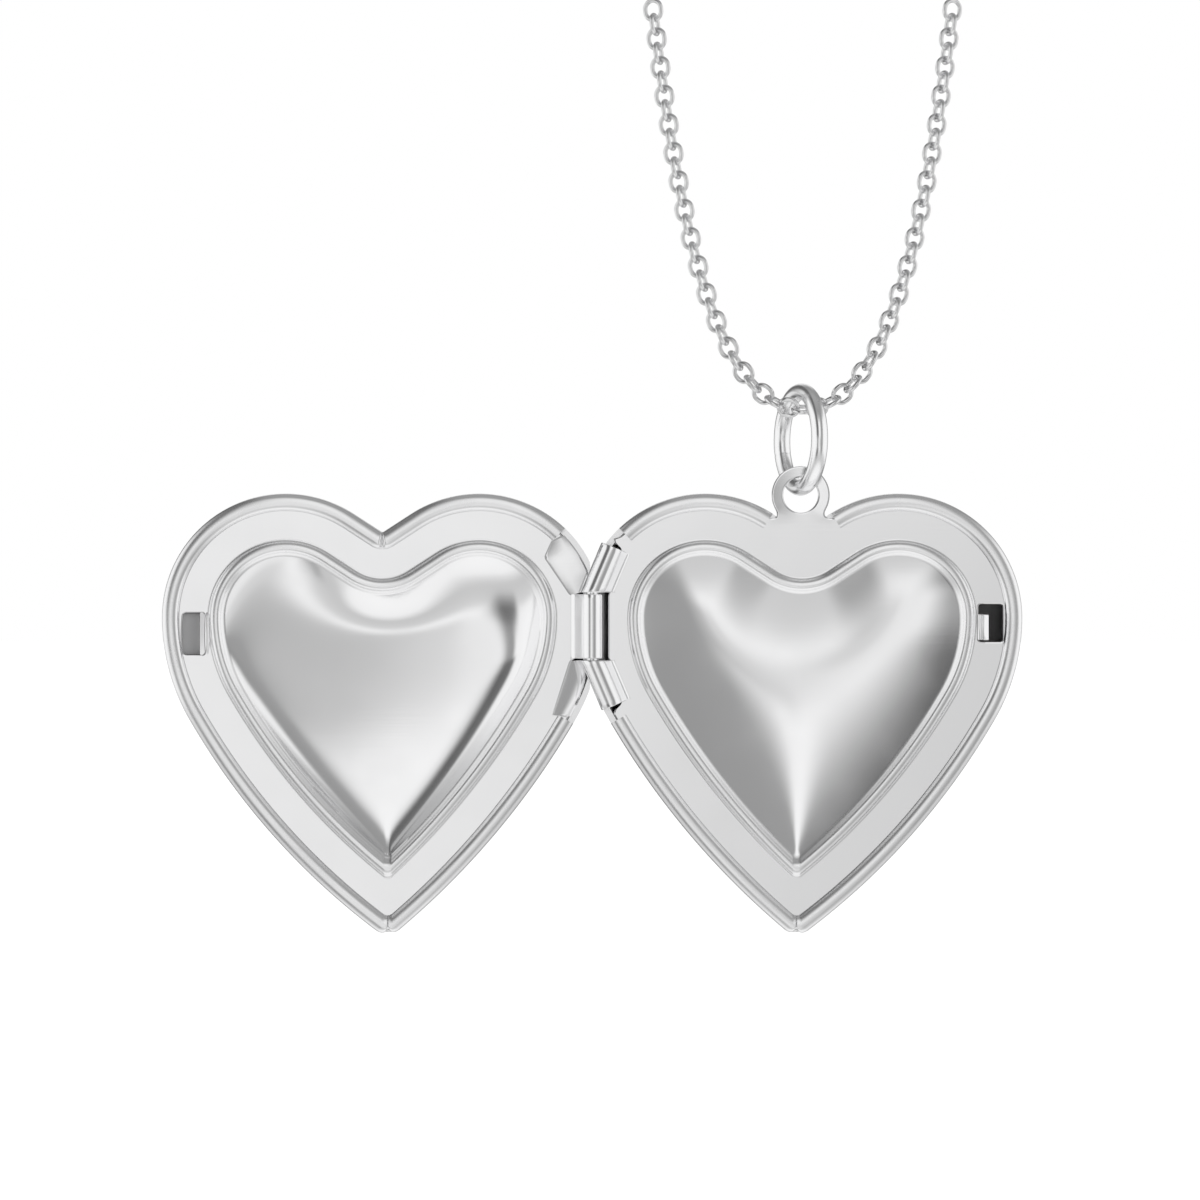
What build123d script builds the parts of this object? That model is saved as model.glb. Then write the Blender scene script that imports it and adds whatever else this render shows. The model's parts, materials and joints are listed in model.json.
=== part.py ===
from build123d import *
import math
import os

os.makedirs("parts", exist_ok=True)

# Frame: +Z up, X across the open pair, Y through it. The hinge line is x = 0, y = 0. The two halves meet on
# the face y = 0 when shut, and open flat they both lie behind it (y > 0). z = 0 is level with the tips.
# A depth is a distance behind the face y = 0; an inset is a distance in from a half's outer outline.

# outline of one half
HEART_CENTRE = 9.55  # from the hinge line to the heart's middle
LOBE_ACROSS = 4.4  # from the middle to a lobe's centre
LOBE_HEIGHT = 14.4
LOBE_RADIUS = 5.65
SHOULDER_RADIUS = 9.3
SHOULDER_TURN = 30  # degrees of arc from the widest point down to the flank
FLANK_RADIUS = 34.0
CLEFT_SLOPE = 33  # degrees, from level down into the cleft
SMALLEST_CLEFT = 0.05
TIP_SHIFT = -0.25  # the tip leans towards the hinge
TIP_RADIUS = 1.0
SMALLEST_TIP = 0.3

# outer shells: (depth, inset) pairs down the wall and over the dome
SHELL_OUTSIDE = [
    (0.02, 0.28),
    (0.2, 0.06),
    (0.5, 0.0),
    (1.0, 0.0),
    (1.6, 0.35),
    (2.15, 1.1),
    (2.55, 2.2),
    (2.75, 3.6),
]
SHELL_INSIDE = [(0.3, 0.3), (1.0, 0.3), (1.5, 0.6), (1.95, 1.3), (2.27, 2.35), (2.45, 3.75)]
LIP_INSET = 0.8
CAVITY_REACH = 0.6  # the opening inside the lip is cut down into the cavity
WALL_FROM_HINGE = 0.1
WALL = 0.3

# inner plates
PLATE_FRONT = 0.32
PLATE_THICKNESS = 0.25
PLATE_BACK = PLATE_FRONT + PLATE_THICKNESS
PLATE_INSET = 0.33
BEAD_OUTER = 2.15
BEAD_INNER = 2.7
BEAD_CREST = 0.1
DISH_OUTSIDE = [(PLATE_BACK, 2.45), (1.2, 3.2), (1.75, 4.6)]
DISH_INSIDE = [(BEAD_CREST, BEAD_INNER), (0.55, 2.8), (1.0, 3.4), (1.5, 4.8)]

# hinge
HINGE_HEIGHT = 14.0
PIN_RADIUS = 0.27
PIN_HALF = 2.2
KNUCKLE_RADIUS = 0.5
KNUCKLE_BORE = 0.3
KNUCKLE_HALF = 1.48
KNUCKLE_GAP = 0.06
KNUCKLE_POCKET = 0.73  # how far the back half is cut back for the middle knuckle
TAB_REACH = 1.6
LUG_RADIUS = 0.52
LUG_FOOT = 0.05
LUG_HEAD = 0.86
LUG_END = 3.85
LUG_POCKET = 1.35
RIM_GAP = 4.05
RELIEF_REACH = 1.5
HINGE_RELIEF = 0.75
PLATE_FROM_HINGE = 0.45

# latch
TONGUE_FROM_HINGE = 17.72
TONGUE_THICKNESS = 0.25
TONGUE_RISE = 0.75
TONGUE_FOOT = 17.5
TONGUE_LOW = HINGE_HEIGHT - 0.6
TONGUE_HIGH = HINGE_HEIGHT + 0.72
TONGUE_WINDOW = (17.6, 18.7, HINGE_HEIGHT - 0.7, HINGE_HEIGHT + 1.0)
CATCH_WINDOW = (17.64, 18.65, HINGE_HEIGHT - 1.3, HINGE_HEIGHT + 0.8)
CATCH_STRIP = 0.22
CATCH_CREST = 0.12

# bail and jump ring
BAIL_ACROSS = 9.5
BAIL_HEIGHT = HINGE_HEIGHT + 5.98
BAIL_RADIUS = 1.32
BAIL_HOLE = 0.8
BAIL_NECK = 2.0
BAIL_ROOT = HINGE_HEIGHT + 3.0
RIM_BREAK = (8.1, 11.0)
RIM_BREAK_DEPTH = 0.6
RING_WIRE = 0.38
RING_RADIUS = 2.18
RING_HEIGHT = HINGE_HEIGHT + 8.51
RING_DEPTH = PLATE_FRONT + PLATE_THICKNESS / 2
RING_TURN = 20  # degrees, from edge-on

# chain: oval links on a catenary that hangs inside the jump ring
LINK_WIRE = 0.1
LINK_BEND = 0.38
LINK_STRAIGHT = 0.12
LINK_PITCH = 0.66
LINK_TWIST = 22
CHAIN_SAG = 2.4
CHAIN_MIDDLE = 9.6
CHAIN_LOW = HINGE_HEIGHT + 9.88
SINGLE_LINKS = 25
RUN_LINKS = 31

BACK = 1
FRONT = -1


def level(depth):
    """The sketch plane at a depth behind the meeting face, with its up direction along +Z."""
    return Plane.XZ.offset(-depth)


def polar(centre, radius, degrees):
    """The point on a circle at an angle from level."""
    turn = math.radians(degrees)
    return (centre[0] + radius * math.cos(turn), centre[1] + radius * math.sin(turn))


def heart(side, inset):
    """One heart face moved in by inset, on the back half's side of the hinge or the front's."""
    lobe = (LOBE_ACROSS, LOBE_HEIGHT)
    lobe_radius = LOBE_RADIUS - inset
    shoulder = (LOBE_ACROSS + LOBE_RADIUS - SHOULDER_RADIUS, LOBE_HEIGHT)
    shoulder_radius = SHOULDER_RADIUS - inset
    flank = polar(shoulder, FLANK_RADIUS - SHOULDER_RADIUS, 180 - SHOULDER_TURN)
    flank_radius = FLANK_RADIUS - inset
    crest = polar(lobe, lobe_radius, 90 + CLEFT_SLOPE)
    cleft = (0, crest[1] - crest[0] * math.tan(math.radians(CLEFT_SLOPE)))
    crown = polar(lobe, lobe_radius, (90 + CLEFT_SLOPE) / 2)
    widest = polar(lobe, lobe_radius, 0)
    shoulder_middle = polar(shoulder, shoulder_radius, -SHOULDER_TURN / 2)
    shoulder_end = polar(shoulder, shoulder_radius, -SHOULDER_TURN)
    tip = (TIP_SHIFT, flank[1] - math.sqrt(flank_radius**2 - flank[0] ** 2))
    fall = math.radians(90 + SHOULDER_TURN)

    def place(point, away):
        return (side * (HEART_CENTRE + away * point[0]), point[1])

    with BuildSketch() as face:
        with BuildLine():
            for away in (1, -1):
                Line(place(cleft, away), place(crest, away))
                ThreePointArc(place(crest, away), place(crown, away), place(widest, away))
                ThreePointArc(place(widest, away), place(shoulder_middle, away), place(shoulder_end, away))
                TangentArc(
                    place(shoulder_end, away),
                    place(tip, 1),
                    tangent=(side * away * math.cos(fall), -math.sin(fall)),
                )
        make_face()
        fillet(face.vertices().sort_by(Axis.Y)[0], max(TIP_RADIUS - inset, SMALLEST_TIP))
        fillet(face.vertices().sort_by_distance(place(cleft, 1))[0], max(inset, SMALLEST_CLEFT))
    return face.sketch


def box_sketch(side, near, far, low, high):
    """A rectangle from near to far from the hinge line and from low to high."""
    with BuildSketch() as face:
        with Locations((side * (near + far) / 2, (low + high) / 2)):
            Rectangle(far - near, high - low)
    return face.sketch


def link_plane(number):
    """The plane a link lies in, counted along the chain from the lowest link; links stand crosswise in turn."""
    along = number * LINK_PITCH
    reach = math.hypot(CHAIN_SAG, along)
    across = CHAIN_MIDDLE + CHAIN_SAG * math.asinh(along / CHAIN_SAG)
    centre = (across, RING_DEPTH, CHAIN_LOW + reach - CHAIN_SAG)
    direction = Vector(CHAIN_SAG / reach, 0, along / reach)
    turn = math.radians(LINK_TWIST + 90 * ((number + 1) % 2))
    normal = Vector(0, 1, 0) * math.cos(turn) + direction.cross(Vector(0, 1, 0)) * math.sin(turn)
    return Plane(origin=centre, x_dir=direction, z_dir=normal)


def save(piece, name):
    """Label a finished piece and write its file."""
    piece.part.label = name
    export_step(piece.part, f"parts/{name}.step")


# The two halves start from one shell and one plate, drawn on the back half's side and mirrored for the front.

with BuildPart() as hollow:
    for depth, inset in SHELL_INSIDE:
        with BuildSketch(level(depth)):
            add(heart(BACK, inset))
    loft(ruled=True)
    split(bisect_by=Plane.YZ.offset(WALL_FROM_HINGE + WALL), keep=Keep.TOP)

with BuildPart() as half_shell:
    for depth, inset in SHELL_OUTSIDE:
        with BuildSketch(level(depth)):
            add(heart(BACK, inset))
    loft(ruled=True)
    split(bisect_by=Plane.YZ.offset(WALL_FROM_HINGE), keep=Keep.TOP)
    add(hollow.part, mode=Mode.SUBTRACT)
    with BuildSketch(level(0)):
        add(heart(BACK, LIP_INSET))
    extrude(amount=-CAVITY_REACH, mode=Mode.SUBTRACT)
    with BuildSketch(level(0)):
        add(box_sketch(BACK, -WALL, RELIEF_REACH, HINGE_HEIGHT - RIM_GAP, HINGE_HEIGHT + RIM_GAP))
    extrude(amount=-HINGE_RELIEF, mode=Mode.SUBTRACT)

with BuildPart() as half_plate:
    with BuildSketch(level(PLATE_FRONT)):
        add(heart(BACK, PLATE_INSET))
    extrude(amount=-PLATE_THICKNESS)
    with BuildSketch(level(BEAD_CREST)):
        add(heart(BACK, BEAD_OUTER))
    extrude(amount=BEAD_CREST - PLATE_BACK)
    for depth, inset in DISH_OUTSIDE:
        with BuildSketch(level(depth)):
            add(heart(BACK, inset))
    loft(ruled=True)
    for depth, inset in DISH_INSIDE:
        with BuildSketch(level(depth)):
            add(heart(BACK, inset))
    loft(ruled=True, mode=Mode.SUBTRACT)
    with BuildSketch(level(0)):
        add(box_sketch(BACK, -WALL, PLATE_FROM_HINGE, HINGE_HEIGHT - RIM_GAP, HINGE_HEIGHT + RIM_GAP))
    extrude(amount=-HINGE_RELIEF, mode=Mode.SUBTRACT)


# Back shell: the domed outer shell, its rolled rim broken at the cleft to let the bail out.

with BuildPart() as back_shell:
    add(half_shell.part)
    with BuildSketch(level(0)):
        add(box_sketch(BACK, RIM_BREAK[0], RIM_BREAK[1], BAIL_ROOT, BAIL_HEIGHT))
    extrude(amount=-RIM_BREAK_DEPTH, mode=Mode.SUBTRACT)
save(back_shell, "back_shell")


# Back plate: dished plate with the bail, the latch tongue and the two outer hinge lugs.

with BuildPart() as back_plate:
    add(half_plate.part)
    with BuildSketch(level(0)):
        add(
            box_sketch(
                BACK,
                -KNUCKLE_RADIUS,
                KNUCKLE_POCKET,
                HINGE_HEIGHT - KNUCKLE_HALF - KNUCKLE_GAP,
                HINGE_HEIGHT + KNUCKLE_HALF + KNUCKLE_GAP,
            )
        )
    extrude(amount=-HINGE_RELIEF, mode=Mode.SUBTRACT)

    # bail ring and its neck, in the flange's own sheet
    with BuildSketch(level(PLATE_FRONT)):
        with Locations((BAIL_ACROSS, BAIL_HEIGHT)):
            Circle(BAIL_RADIUS)
        add(box_sketch(BACK, BAIL_ACROSS - BAIL_NECK / 2, BAIL_ACROSS + BAIL_NECK / 2, BAIL_ROOT, BAIL_HEIGHT))
        with Locations((BAIL_ACROSS, BAIL_HEIGHT)):
            Circle(BAIL_HOLE, mode=Mode.SUBTRACT)
    extrude(amount=-PLATE_THICKNESS)

    # tongue, cut from its window's hinge-side edge and bent up
    with BuildSketch(level(PLATE_FRONT)):
        add(box_sketch(BACK, *TONGUE_WINDOW))
    extrude(amount=-PLATE_THICKNESS, mode=Mode.SUBTRACT)
    with BuildSketch(level(PLATE_FRONT)):
        add(box_sketch(BACK, TONGUE_FOOT, TONGUE_FROM_HINGE + TONGUE_THICKNESS, TONGUE_LOW, TONGUE_HIGH))
    extrude(amount=-PLATE_THICKNESS)
    with BuildSketch(level(-TONGUE_RISE)):
        add(box_sketch(BACK, TONGUE_FROM_HINGE, TONGUE_FROM_HINGE + TONGUE_THICKNESS, TONGUE_LOW, TONGUE_HIGH))
    extrude(amount=-TONGUE_RISE - PLATE_BACK)

    # outer hinge lugs, leaning with the outline, each with a blind bore for the pin
    for up in (1, -1):
        foot = HINGE_HEIGHT + up * (KNUCKLE_HALF + KNUCKLE_GAP)
        head = HINGE_HEIGHT + up * LUG_END
        with BuildSketch(Plane.XY.offset(foot)):
            with Locations((LUG_FOOT, 0)):
                Circle(LUG_RADIUS)
        with BuildSketch(Plane.XY.offset(head)):
            with Locations((LUG_HEAD, 0)):
                Circle(LUG_RADIUS)
        loft()
        with BuildSketch(level(PLATE_FRONT)):
            add(box_sketch(BACK, LUG_FOOT, TAB_REACH, min(foot, head), max(foot, head)))
        extrude(amount=-PLATE_THICKNESS)
    with BuildSketch(Plane.XY.offset(HINGE_HEIGHT - PIN_HALF)):
        Circle(PIN_RADIUS)
    extrude(amount=2 * PIN_HALF, mode=Mode.SUBTRACT)
save(back_plate, "back_plate")


# Hinge pin: held in the two lugs, running in the middle knuckle.

with BuildPart() as hinge_pin:
    with BuildSketch(Plane.XY.offset(HINGE_HEIGHT - PIN_HALF)):
        Circle(PIN_RADIUS)
    extrude(amount=2 * PIN_HALF)
save(hinge_pin, "hinge_pin")


# Front shell: the mirror image, with an unbroken rim at the cleft.

with BuildPart() as front_shell:
    mirror(half_shell.part, about=Plane.YZ)
save(front_shell, "front_shell")


# Front plate: dished plate with the middle knuckle and the window that catches the tongue.

with BuildPart() as front_plate:
    mirror(half_plate.part, about=Plane.YZ)

    # pockets that clear the back half's lugs when shut
    with BuildSketch(level(0)):
        add(box_sketch(FRONT, -WALL, LUG_POCKET, HINGE_HEIGHT - RIM_GAP, HINGE_HEIGHT + RIM_GAP))
    extrude(amount=-HINGE_RELIEF, mode=Mode.SUBTRACT)

    # middle knuckle, curled from the plate
    with BuildSketch(Plane.XY.offset(HINGE_HEIGHT - KNUCKLE_HALF)):
        Circle(KNUCKLE_RADIUS)
        with Locations((-TAB_REACH / 2, PLATE_FRONT + PLATE_THICKNESS / 2)):
            Rectangle(TAB_REACH, PLATE_THICKNESS)
        Circle(KNUCKLE_BORE, mode=Mode.SUBTRACT)
    extrude(amount=2 * KNUCKLE_HALF)

    # window with a raised strip along its dish side
    with BuildSketch(level(PLATE_FRONT)):
        add(box_sketch(FRONT, *CATCH_WINDOW))
    extrude(amount=-PLATE_THICKNESS, mode=Mode.SUBTRACT)
    near = CATCH_WINDOW[0]
    with BuildSketch(level(CATCH_CREST)):
        add(box_sketch(FRONT, near - CATCH_STRIP, near, CATCH_WINDOW[2], CATCH_WINDOW[3]))
    extrude(amount=CATCH_CREST - PLATE_BACK)
save(front_plate, "front_plate")


# Jump ring: round wire through the bail, turned a little from edge-on.

ring_turn = math.radians(RING_TURN)
ring_centre = (BAIL_ACROSS, RING_DEPTH, RING_HEIGHT)
ring_axis = (math.cos(ring_turn), math.sin(ring_turn), 0)
ring_across = (math.sin(ring_turn), -math.cos(ring_turn), 0)
with BuildPart() as jump_ring:
    with BuildSketch(Plane(origin=ring_centre, x_dir=ring_across, z_dir=(0, 0, 1))):
        with Locations((RING_RADIUS, 0)):
            Circle(RING_WIRE)
    revolve(axis=Axis(ring_centre, ring_axis))
save(jump_ring, "jump_ring")


# Chain: one link per file near the ring; the last links of each run share a file as separate solids.

chain_files = {"link_middle": [0]}
for run, way in (("left", -1), ("right", 1)):
    for number in range(1, SINGLE_LINKS + 1):
        chain_files[f"link_{run}_{number:02d}"] = [way * number]
    chain_files[f"links_{run}_end"] = [way * number for number in range(SINGLE_LINKS + 1, RUN_LINKS + 1)]

for name, numbers in chain_files.items():
    with BuildPart() as chain_piece:
        for number in numbers:
            plane = link_plane(number)
            half = LINK_STRAIGHT / 2
            with BuildLine(plane):
                Line((-half, LINK_BEND), (half, LINK_BEND))
                ThreePointArc((half, LINK_BEND), (half + LINK_BEND, 0), (half, -LINK_BEND))
                Line((half, -LINK_BEND), (-half, -LINK_BEND))
                ThreePointArc((-half, -LINK_BEND), (-half - LINK_BEND, 0), (-half, LINK_BEND))
            start = plane.from_local_coords((0, LINK_BEND, 0))
            with BuildSketch(Plane(origin=start, z_dir=plane.x_dir)):
                Circle(LINK_WIRE)
            sweep()
    save(chain_piece, name)
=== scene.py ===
import json
import math

import bmesh
import bpy
import numpy as np
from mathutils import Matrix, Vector, geometry


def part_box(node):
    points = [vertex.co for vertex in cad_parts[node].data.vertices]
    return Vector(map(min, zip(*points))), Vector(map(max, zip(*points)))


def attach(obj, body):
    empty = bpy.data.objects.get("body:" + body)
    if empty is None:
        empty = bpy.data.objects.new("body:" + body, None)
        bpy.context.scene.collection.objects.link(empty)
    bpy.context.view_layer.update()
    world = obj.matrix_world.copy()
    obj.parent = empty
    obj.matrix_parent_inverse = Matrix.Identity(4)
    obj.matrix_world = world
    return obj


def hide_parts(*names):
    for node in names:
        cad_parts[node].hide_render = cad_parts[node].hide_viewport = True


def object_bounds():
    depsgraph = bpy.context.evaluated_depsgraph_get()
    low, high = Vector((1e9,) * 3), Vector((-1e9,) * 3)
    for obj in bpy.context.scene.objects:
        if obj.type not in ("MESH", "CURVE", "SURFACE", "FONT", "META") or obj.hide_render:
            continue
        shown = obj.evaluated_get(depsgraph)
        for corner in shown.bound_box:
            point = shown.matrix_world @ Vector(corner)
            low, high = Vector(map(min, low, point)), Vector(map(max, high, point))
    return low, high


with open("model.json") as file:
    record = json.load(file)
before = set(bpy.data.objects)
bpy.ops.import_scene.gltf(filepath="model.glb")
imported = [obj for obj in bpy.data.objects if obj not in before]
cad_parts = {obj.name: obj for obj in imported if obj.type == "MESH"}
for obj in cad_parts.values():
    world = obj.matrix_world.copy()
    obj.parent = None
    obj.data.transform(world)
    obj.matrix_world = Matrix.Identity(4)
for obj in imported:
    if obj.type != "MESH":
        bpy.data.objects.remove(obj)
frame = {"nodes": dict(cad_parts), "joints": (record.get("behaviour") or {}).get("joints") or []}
cad_low, cad_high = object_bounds()

# Frame: metres, +Z up, X across the open pair, +Y from the viewer through it. A half is drawn in its own
# numbers, in millimetres: "out" is the distance from the hinge line, "up" the height, "depth" the distance
# behind the meeting face, and "inset" the distance in from the half's outline. BACK is the +X half and FRONT
# the -X half.
BACK = 1
FRONT = -1

shell_low, shell_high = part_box("back_shell")
plate_low, plate_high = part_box("back_plate")
ring_low, ring_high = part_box("jump_ring")
hinge_joint = next(joint for joint in frame["joints"] if joint["name"] == "cover_hinge")

MM = (shell_high.z - shell_low.z) / 20.05  # the heart stands 20.05 mm high
HINGE_HEIGHT = hinge_joint["pos_m"][2] / MM
RIM_OUT = shell_high.x / MM

# outline of one half, in millimetres
LOBE_ACROSS = 4.4
LOBE_RADIUS = 5.65
LOBE_HEIGHT = shell_high.z / MM - LOBE_RADIUS
HEART_CENTRE = RIM_OUT - LOBE_ACROSS - LOBE_RADIUS
SHOULDER_RADIUS = 9.3
SHOULDER_TURN = 30
FLANK_RADIUS = 34.0
CLEFT_SLOPE = 33
CLEFT_ROUND = 0.12
TIP_SHIFT = -0.25
TIP_RADIUS = 0.6
SMALLEST_TIP = 0.22

# columns round the outline, on one side of the heart
CLEFT_COLUMNS = 10
LINE_COLUMNS = 8
LOBE_COLUMNS = 56
SHOULDER_COLUMNS = 22
FLANK_COLUMNS = 60
TIP_COLUMNS = 12

# which of a piece's materials a face gets
FLAT = 0
ROUNDED = 1
# UNPOLISHED_PAINTED_SHADE is rougher and darker in colour; the darker colour is painted shade for the inside
# of the shell and the slots and windows seen into
UNPOLISHED_PAINTED_SHADE = 2

# shell
LIP_PROFILE = [  # (inset, depth) round the rolled rim, from the wall over its crown to its inner edge
    (0.0, 1.0), (0.0, 0.72), (0.0, 0.44), (0.02, 0.27), (0.06, 0.165), (0.12, 0.095), (0.2, 0.053),
    (0.3, 0.029), (0.42, 0.02), (0.54, 0.032), (0.64, 0.06), (0.715, 0.11), (0.765, 0.175), (0.79, 0.25),
]
LIP_UNDER = [(0.8, 0.3), (0.62, 0.3), (0.34, 0.3), (0.3, 0.62), (0.3, 1.0)]  # and back under it to the wall
LIP_DEPTH = 0.29  # the rim's upper side ends here
BOWL_HEIGHT = 12.0  # where the rows of a dome or dish meet
DOME_RISE = 1.76
DOME_START = 1.0
DOME_SCALE = 1.05
DOME_POWER = 0.75
DOME_ROWS = 26
DOME_INSETS = [0.004, 0.015, 0.04, 0.08, 0.14, 0.22, 0.33, 0.48, 0.67, 0.9, 1.2, 1.6, 2.1]
WALL = 0.3
WALL_FROM_HINGE = 0.1
HINGE_RELIEF = 0.75  # depth the wall is cut down to beside the hinge
RIM_GAP = 4.05  # the rim stops this far above and below the hinge's middle
HINGE_SIDE = 3.0  # nearer the hinge line than this is the hinge's side of a half
BAIL_GAP = (8.02, 11.0)
MITRE_DEPTH = 0.1  # of the notch where the rim's two ends meet at the tip
MITRE_COLUMNS = 0.9
MITRE_LIFT = 0.16
MITRE_LIFT_COLUMNS = 3.0
MITRE_INSET = 0.5
CLEFT_FOLD_DEPTH = 0.14
CLEFT_FOLD_COLUMNS = 2.2

# plate
PLATE_FRONT = 0.32
PLATE_THICKNESS = 0.25
PLATE_INSET = 0.33
EDGE_ROUND = 0.06
EDGE_STRIP = 0.02  # flat strip beside a rounded edge
FOOT_INSET = 2.06
BEAD_PROFILE = [  # (inset, depth) over the raised bead, from the flange in to the dish
    (2.09, 0.32), (2.13, 0.314), (2.17, 0.293), (2.21, 0.255), (2.25, 0.215), (2.3, 0.18), (2.36, 0.158),
    (2.43, 0.148), (2.5, 0.146), (2.56, 0.155), (2.61, 0.178), (2.65, 0.212), (2.69, 0.255), (2.74, 0.305),
    (2.8, 0.345), (2.87, 0.372),
]
DISH_START = BEAD_PROFILE[-1]
DISH_ROWS = 44
DISH_SLOPE = 0.3  # of the back dish, at its edge
DISH_LEAN = 0.003  # how much steeper it is towards the hinge
DISH_BEND = 0.024  # how fast the slope eases further in
DISH_BEND_SIDE = 0.006  # and how much slower it does so on the hinge side
FLOOR_SLOPE = 0.14  # of the front dish's floor, at its far side
FLOOR_LOWEST = 5.5  # where that floor is deepest, out from the hinge
FLOOR_SPAN = 11.5  # and how far out from there to its highest side
FLOOR_BOW = 0.01  # how fast that floor rises below its middle height
FLOOR_BOW_UP = 0.012  # and above it
FLOOR_MIDDLE = 11.3  # the height its bow is measured from
FLOOR_START = 0.1
FLOOR_TWIST = 0.008  # how fast its lower part sinks towards the far side
FLOOR_TWIST_EASE = 1.2
FLOOR_WALL = 0.35  # how wide the wall round it is
FLOOR_WALL_TOP = 0.6  # how much wider the wall is at the lobes

# hinge and latch
POCKET_EDGE = 0.73  # the back plate's edge behind the middle curl
POCKET_HALF = 1.54  # half the height of that pocket
LUG_RADIUS = 0.54
LUG_SHEET = 0.2
LUG_FOOT = 0.95
LUG_LOW = (0.05, POCKET_HALF)  # where an outer curl's middle line starts
LUG_HIGH = (0.93, 3.62)  # and ends, from the hinge's middle
KNUCKLE_RADIUS = 0.48
KNUCKLE_SHEET = 0.17
KNUCKLE_FOOT = 1.05
KNUCKLE_HALF = 1.46
CURL_LIFT = 0.015  # a curl's foot lies this much below the flange
WINDOW_NEAR = 17.6
WINDOW_FAR = 18.7
TONGUE_SHEET = 0.2
TONGUE_LOW = HINGE_HEIGHT - 0.62
TONGUE_HIGH = HINGE_HEIGHT + 0.54
CATCH_LOW = HINGE_HEIGHT - 1.32
CATCH_HIGH = HINGE_HEIGHT + 0.66
FACET_INSET = 0.25
FACET_SHEET = 0.12

# bail
BAIL_OUT = 9.5
BAIL_RADIUS = 1.32
BAIL_HOLE = 0.8
BAIL_HEIGHT = plate_high.z / MM - BAIL_RADIUS
BAIL_FOOT = 1.62  # half the width of its foot on the outline
BAIL_NECK_TURN = 28  # degrees below level where its ring runs into its foot

# chain and jump ring
RING_WIRE = 0.38
SEAM_TURN = 196  # degrees round the ring to its soldered seam
LINK_WIRE = 0.1
LINK_BEND = 0.38
LINK_STRAIGHT = 0.12
LINK_TWIST = 22

# camera
PICTURE_WIDTH = 54.55
PICTURE_OUT = 0.36
PICTURE_HEIGHT = 15.2
LENS = 110
SENSOR = 36


def arc(centre, radius, start, end, count):
    """Points on an arc from one angle to another, without the last point."""
    turn = np.radians(np.linspace(start, end, count, endpoint=False))
    return np.stack([centre[0] + radius * np.cos(turn), centre[1] + radius * np.sin(turn)], axis=1)


def segment(start, end, count):
    """Points on a straight line, without the last point."""
    share = np.linspace(0, 1, count, endpoint=False)[:, None]
    return np.array(start) * (1 - share) + np.array(end) * share


def bezier(a, b, c, d, count, last=False):
    """Points on a cubic Bezier curve."""
    t = np.linspace(0, 1, count, endpoint=last)[:, None]
    a, b, c, d = (np.array(p, float) for p in (a, b, c, d))
    return a * (1 - t) ** 3 + 3 * b * t * (1 - t) ** 2 + 3 * c * t**2 * (1 - t) + d * t**3


def flank_arc(inset, away):
    """Centre, radius and end angle of the flank arc, and the tip it runs to."""
    shoulder = np.array([LOBE_ACROSS + LOBE_RADIUS - SHOULDER_RADIUS, LOBE_HEIGHT])
    turn = math.radians(SHOULDER_TURN)
    start = shoulder + (SHOULDER_RADIUS - inset) * np.array([math.cos(turn), -math.sin(turn)])
    inward = np.array([-math.cos(turn), math.sin(turn)])
    drawn = shoulder + (FLANK_RADIUS - SHOULDER_RADIUS) * inward
    tip = np.array([away * TIP_SHIFT, drawn[1] - math.sqrt((FLANK_RADIUS - inset) ** 2 - drawn[0] ** 2)])
    across = tip - start
    radius = across.dot(across) / (2 * across.dot(inward))
    centre = start + inward * radius
    end = math.degrees(math.atan2(tip[1] - centre[1], tip[0] - centre[0]))
    return centre, radius, end, tip


def half_outline(inset, away):
    """One side of the outline from the cleft to the tip's rounding, and that rounding's start and handle."""
    slope = math.radians(CLEFT_SLOPE)
    normal = np.array([math.sin(slope), -math.cos(slope)])
    lobe = np.array([LOBE_ACROSS, LOBE_HEIGHT])
    crest = lobe - LOBE_RADIUS * normal
    cleft = np.array([0, crest[1] - crest[0] * math.tan(slope) + CLEFT_ROUND / math.cos(slope)])
    cleft_radius = CLEFT_ROUND + inset
    shoulder = np.array([LOBE_ACROSS + LOBE_RADIUS - SHOULDER_RADIUS, LOBE_HEIGHT])
    centre, radius, end, tip = flank_arc(inset, away)
    reach = 1.19 * max(TIP_RADIUS - inset, SMALLEST_TIP)
    stop = end + math.degrees(reach / radius)
    points = np.concatenate(
        [
            arc(cleft, cleft_radius, -90, -90 + CLEFT_SLOPE, CLEFT_COLUMNS),
            segment(cleft + cleft_radius * normal, crest + inset * normal, LINE_COLUMNS),
            arc(lobe, LOBE_RADIUS - inset, 90 + CLEFT_SLOPE, 0, LOBE_COLUMNS),
            arc(shoulder, SHOULDER_RADIUS - inset, 0, -SHOULDER_TURN, SHOULDER_COLUMNS),
            arc(centre, radius, -SHOULDER_TURN, stop, FLANK_COLUMNS),
        ]
    )
    turn = math.radians(stop)
    start = centre + radius * np.array([math.cos(turn), math.sin(turn)])
    handle = start + 0.52 * reach * np.array([math.sin(turn), -math.cos(turn)])
    return points, start, handle


def ring(inset):
    """The whole outline at an inset, as (out, up) points from the cleft round the far side and back."""
    far, far_start, far_handle = half_outline(inset, 1)
    near, near_start, near_handle = half_outline(inset, -1)
    flip = np.array([-1, 1])
    tip = bezier(far_start, far_handle, near_handle * flip, near_start * flip, 2 * TIP_COLUMNS, last=True)
    points = np.concatenate([far, tip, near[:0:-1] * flip])  # the cleft's point is the first already
    return points + np.array([HEART_CENTRE, 0])


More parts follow.
